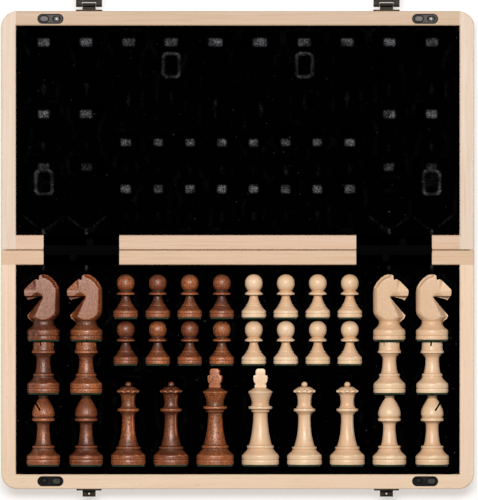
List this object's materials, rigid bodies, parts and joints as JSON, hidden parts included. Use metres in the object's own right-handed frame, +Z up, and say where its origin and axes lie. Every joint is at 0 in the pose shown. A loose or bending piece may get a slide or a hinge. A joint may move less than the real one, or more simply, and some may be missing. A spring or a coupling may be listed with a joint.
{
  "type": "chess box",
  "caption": "Folding wooden chess box, open flat: hinged halves with flocked trays of turned chessmen, latches, locating plates and a chessboard on the underside",
  "frame": {"origin": "the middle of the base half's flat underside, where the closed box stands", "axes": "+X along the fold, +Y from the base half to the lid half, +Z up out of the open halves"},
  "size_m": [0.3812, 0.4149, 0.0406],
  "materials": {
    "pale_wood": "satin",
    "light_veneer": "satin",
    "dark_veneer": "satin",
    "black_flock": "matte",
    "black_cloth": "matte",
    "hinge_steel": "satin",
    "screw_steel": "satin",
    "bronze": "satin",
    "black_plastic": "matte",
    "grey_plastic": "satin",
    "dark_chessman_wood": "satin",
    "light_chessman_wood": "satin"
  },
  "bodies": {
    "base_half": {"base_front_rail": "pale_wood", "base_hinge_rail": "pale_wood", "base_side_rails": "pale_wood", "base_board_panel": "light_veneer", "base_dark_squares": "dark_veneer", "base_tray": "black_flock", "base_hinge_leaves": "hinge_steel", "base_hinge_covers": "black_cloth", "base_locating_plates": "black_plastic", "base_screws": "screw_steel", "latch_keepers": "bronze", "hinge_pins": "hinge_steel"},
    "lid_half": {"lid_front_rail": "pale_wood", "lid_hinge_rail": "pale_wood", "lid_side_rails": "pale_wood", "lid_board_panel": "light_veneer", "lid_dark_squares": "dark_veneer", "lid_tray": "black_flock", "lid_hinge_leaves": "hinge_steel", "lid_hinge_covers": "black_cloth", "lid_locating_plates": "grey_plastic", "lid_screws": "screw_steel", "latch_plates": "bronze", "latch_pins": "bronze"},
    "left_flap": {"latch_flap_left": "bronze"},
    "right_flap": {"latch_flap_right": "bronze"},
    "dark_king": {"dark_king": "dark_chessman_wood"},
    "dark_queen_1": {"dark_queen_1": "dark_chessman_wood"},
    "dark_queen_2": {"dark_queen_2": "dark_chessman_wood"},
    "dark_bishop_1": {"dark_bishop_1": "dark_chessman_wood"},
    "dark_bishop_2": {"dark_bishop_2": "dark_chessman_wood"},
    "dark_knight_1": {"dark_knight_1": "dark_chessman_wood"},
    "dark_knight_2": {"dark_knight_2": "dark_chessman_wood"},
    "dark_rook_1": {"dark_rook_1": "dark_chessman_wood"},
    "dark_rook_2": {"dark_rook_2": "dark_chessman_wood"},
    "dark_pawn_1": {"dark_pawn_1": "dark_chessman_wood"},
    "dark_pawn_2": {"dark_pawn_2": "dark_chessman_wood"},
    "dark_pawn_3": {"dark_pawn_3": "dark_chessman_wood"},
    "dark_pawn_4": {"dark_pawn_4": "dark_chessman_wood"},
    "dark_pawn_5": {"dark_pawn_5": "dark_chessman_wood"},
    "dark_pawn_6": {"dark_pawn_6": "dark_chessman_wood"},
    "dark_pawn_7": {"dark_pawn_7": "dark_chessman_wood"},
    "dark_pawn_8": {"dark_pawn_8": "dark_chessman_wood"},
    "light_king": {"light_king": "light_chessman_wood"},
    "light_queen_1": {"light_queen_1": "light_chessman_wood"},
    "light_queen_2": {"light_queen_2": "light_chessman_wood"},
    "light_bishop_1": {"light_bishop_1": "light_chessman_wood"},
    "light_bishop_2": {"light_bishop_2": "light_chessman_wood"},
    "light_knight_1": {"light_knight_1": "light_chessman_wood"},
    "light_knight_2": {"light_knight_2": "light_chessman_wood"},
    "light_rook_1": {"light_rook_1": "light_chessman_wood"},
    "light_rook_2": {"light_rook_2": "light_chessman_wood"},
    "light_pawn_1": {"light_pawn_1": "light_chessman_wood"},
    "light_pawn_2": {"light_pawn_2": "light_chessman_wood"},
    "light_pawn_3": {"light_pawn_3": "light_chessman_wood"},
    "light_pawn_4": {"light_pawn_4": "light_chessman_wood"},
    "light_pawn_5": {"light_pawn_5": "light_chessman_wood"},
    "light_pawn_6": {"light_pawn_6": "light_chessman_wood"},
    "light_pawn_7": {"light_pawn_7": "light_chessman_wood"},
    "light_pawn_8": {"light_pawn_8": "light_chessman_wood"}
  },
  "joints": [
    {"name": "box_lid_hinge", "type": "hinge", "parent": "base_half", "child": "lid_half", "pos_m": [0, 0.09645, 0.0256], "axis": [-1, 0, 0], "range_deg": [-180, 0]},
    {"name": "catch_left_flap", "type": "hinge", "parent": "lid_half", "child": "left_flap", "pos_m": [-0.12, 0.2941, 0.02], "axis": [-1, 0, 0], "range_deg": [-90, 90]},
    {"name": "catch_right_flap", "type": "hinge", "parent": "lid_half", "child": "right_flap", "pos_m": [0.12, 0.2941, 0.02], "axis": [-1, 0, 0], "range_deg": [-90, 90]},
    {"name": "lift_dark_king", "type": "slide", "parent": "base_half", "child": "dark_king", "axis": [0, 0, 1], "range_m": [0, 0.06]},
    {"name": "lift_dark_queen_1", "type": "slide", "parent": "base_half", "child": "dark_queen_1", "axis": [0, 0, 1], "range_m": [0, 0.06]},
    {"name": "lift_dark_queen_2", "type": "slide", "parent": "base_half", "child": "dark_queen_2", "axis": [0, 0, 1], "range_m": [0, 0.06]},
    {"name": "lift_dark_bishop_1", "type": "slide", "parent": "base_half", "child": "dark_bishop_1", "axis": [0, 0, 1], "range_m": [0, 0.06]},
    {"name": "lift_dark_bishop_2", "type": "slide", "parent": "base_half", "child": "dark_bishop_2", "axis": [0, 0, 1], "range_m": [0, 0.06]},
    {"name": "lift_dark_knight_1", "type": "slide", "parent": "base_half", "child": "dark_knight_1", "axis": [0, 0, 1], "range_m": [0, 0.06]},
    {"name": "lift_dark_knight_2", "type": "slide", "parent": "base_half", "child": "dark_knight_2", "axis": [0, 0, 1], "range_m": [0, 0.06]},
    {"name": "lift_dark_rook_1", "type": "slide", "parent": "base_half", "child": "dark_rook_1", "axis": [0, 0, 1], "range_m": [0, 0.06]},
    {"name": "lift_dark_rook_2", "type": "slide", "parent": "base_half", "child": "dark_rook_2", "axis": [0, 0, 1], "range_m": [0, 0.06]},
    {"name": "lift_dark_pawn_1", "type": "slide", "parent": "base_half", "child": "dark_pawn_1", "axis": [0, 0, 1], "range_m": [0, 0.06]},
    {"name": "lift_dark_pawn_2", "type": "slide", "parent": "base_half", "child": "dark_pawn_2", "axis": [0, 0, 1], "range_m": [0, 0.06]},
    {"name": "lift_dark_pawn_3", "type": "slide", "parent": "base_half", "child": "dark_pawn_3", "axis": [0, 0, 1], "range_m": [0, 0.06]},
    {"name": "lift_dark_pawn_4", "type": "slide", "parent": "base_half", "child": "dark_pawn_4", "axis": [0, 0, 1], "range_m": [0, 0.06]},
    {"name": "lift_dark_pawn_5", "type": "slide", "parent": "base_half", "child": "dark_pawn_5", "axis": [0, 0, 1], "range_m": [0, 0.06]},
    {"name": "lift_dark_pawn_6", "type": "slide", "parent": "base_half", "child": "dark_pawn_6", "axis": [0, 0, 1], "range_m": [0, 0.06]},
    {"name": "lift_dark_pawn_7", "type": "slide", "parent": "base_half", "child": "dark_pawn_7", "axis": [0, 0, 1], "range_m": [0, 0.06]},
    {"name": "lift_dark_pawn_8", "type": "slide", "parent": "base_half", "child": "dark_pawn_8", "axis": [0, 0, 1], "range_m": [0, 0.06]},
    {"name": "lift_light_king", "type": "slide", "parent": "base_half", "child": "light_king", "axis": [0, 0, 1], "range_m": [0, 0.06]},
    {"name": "lift_light_queen_1", "type": "slide", "parent": "base_half", "child": "light_queen_1", "axis": [0, 0, 1], "range_m": [0, 0.06]},
    {"name": "lift_light_queen_2", "type": "slide", "parent": "base_half", "child": "light_queen_2", "axis": [0, 0, 1], "range_m": [0, 0.06]},
    {"name": "lift_light_bishop_1", "type": "slide", "parent": "base_half", "child": "light_bishop_1", "axis": [0, 0, 1], "range_m": [0, 0.06]},
    {"name": "lift_light_bishop_2", "type": "slide", "parent": "base_half", "child": "light_bishop_2", "axis": [0, 0, 1], "range_m": [0, 0.06]},
    {"name": "lift_light_knight_1", "type": "slide", "parent": "base_half", "child": "light_knight_1", "axis": [0, 0, 1], "range_m": [0, 0.06]},
    {"name": "lift_light_knight_2", "type": "slide", "parent": "base_half", "child": "light_knight_2", "axis": [0, 0, 1], "range_m": [0, 0.06]},
    {"name": "lift_light_rook_1", "type": "slide", "parent": "base_half", "child": "light_rook_1", "axis": [0, 0, 1], "range_m": [0, 0.06]},
    {"name": "lift_light_rook_2", "type": "slide", "parent": "base_half", "child": "light_rook_2", "axis": [0, 0, 1], "range_m": [0, 0.06]},
    {"name": "lift_light_pawn_1", "type": "slide", "parent": "base_half", "child": "light_pawn_1", "axis": [0, 0, 1], "range_m": [0, 0.06]},
    {"name": "lift_light_pawn_2", "type": "slide", "parent": "base_half", "child": "light_pawn_2", "axis": [0, 0, 1], "range_m": [0, 0.06]},
    {"name": "lift_light_pawn_3", "type": "slide", "parent": "base_half", "child": "light_pawn_3", "axis": [0, 0, 1], "range_m": [0, 0.06]},
    {"name": "lift_light_pawn_4", "type": "slide", "parent": "base_half", "child": "light_pawn_4", "axis": [0, 0, 1], "range_m": [0, 0.06]},
    {"name": "lift_light_pawn_5", "type": "slide", "parent": "base_half", "child": "light_pawn_5", "axis": [0, 0, 1], "range_m": [0, 0.06]},
    {"name": "lift_light_pawn_6", "type": "slide", "parent": "base_half", "child": "light_pawn_6", "axis": [0, 0, 1], "range_m": [0, 0.06]},
    {"name": "lift_light_pawn_7", "type": "slide", "parent": "base_half", "child": "light_pawn_7", "axis": [0, 0, 1], "range_m": [0, 0.06]},
    {"name": "lift_light_pawn_8", "type": "slide", "parent": "base_half", "child": "light_pawn_8", "axis": [0, 0, 1], "range_m": [0, 0.06]}
  ]
}
